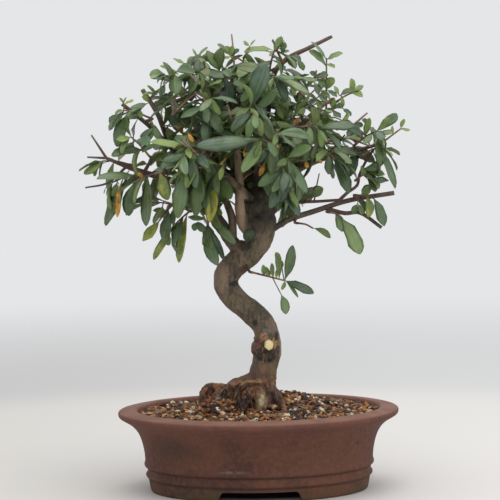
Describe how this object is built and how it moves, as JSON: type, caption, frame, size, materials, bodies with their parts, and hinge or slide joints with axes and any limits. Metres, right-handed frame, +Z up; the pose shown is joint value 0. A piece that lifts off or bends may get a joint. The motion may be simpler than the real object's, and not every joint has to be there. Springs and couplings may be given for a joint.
{
  "type": "pomegranate bonsai in a pot",
  "caption": "Small pomegranate tree with a winding trunk and a broad leafy crown, in soil in an oval unglazed stoneware pot standing on long feet.",
  "frame": {"origin": "on the ground under the middle of the bounding box; the middle of the pot is 4.5 mm to +X and 1 mm to +Y of it", "axes": "+Z up; the side that the tree is looked at from is -Y; +X is the looker's right, and runs along the pot's length"},
  "size_m": [0.226, 0.1651, 0.32],
  "materials": {
    "stoneware": "matte",
    "potting_mix": "matte",
    "mesh_plastic": "matte",
    "bark": "matte",
    "leaf": "satin"
  },
  "bodies": {
    "root": {"pot": "stoneware", "drainage_mesh_left": "mesh_plastic", "drainage_mesh_right": "mesh_plastic", "soil": "potting_mix", "trunk_and_branches": "bark", "leafy_stem_01": "leaf", "leafy_stem_02": "leaf", "leafy_stem_03": "leaf", "leafy_stem_04": "leaf", "leafy_stem_05": "leaf", "leafy_stem_06": "leaf", "leafy_stem_07": "leaf", "leafy_stem_08": "leaf", "leafy_stem_09": "leaf", "leafy_stem_10": "leaf", "leafy_stem_11": "leaf", "leafy_stem_12": "leaf", "leafy_stem_13": "leaf", "leafy_stem_14": "leaf", "leafy_stem_15": "leaf", "leafy_stem_16": "leaf", "leafy_stem_17": "leaf", "leafy_stem_18": "leaf", "leafy_stem_19": "leaf", "leafy_stem_20": "leaf", "leafy_stem_21": "leaf", "leafy_stem_22": "leaf", "leafy_stem_23": "leaf", "leafy_stem_24": "leaf", "leafy_stem_25": "leaf", "leafy_stem_26": "leaf", "leafy_stem_27": "leaf", "leafy_stem_28": "leaf", "leafy_stem_29": "leaf", "leafy_stem_30": "leaf", "leafy_stem_31": "leaf", "leafy_stem_32": "leaf", "leafy_stem_33": "leaf", "leafy_stem_34": "leaf", "leafy_stem_35": "leaf", "leafy_stem_36": "leaf", "leafy_stem_37": "leaf", "leafy_stem_38": "leaf", "leafy_stem_39": "leaf", "leafy_stem_40": "leaf", "leafy_stem_41": "leaf", "leafy_stem_42": "leaf", "leafy_stem_43": "leaf", "leafy_stem_44": "leaf", "leafy_stem_45": "leaf", "leafy_stem_46": "leaf", "leafy_stem_47": "leaf", "leafy_stem_48": "leaf", "leafy_stem_49": "leaf", "leafy_stem_50": "leaf", "leafy_stem_51": "leaf", "leafy_stem_52": "leaf"}
  },
  "joints": []
}
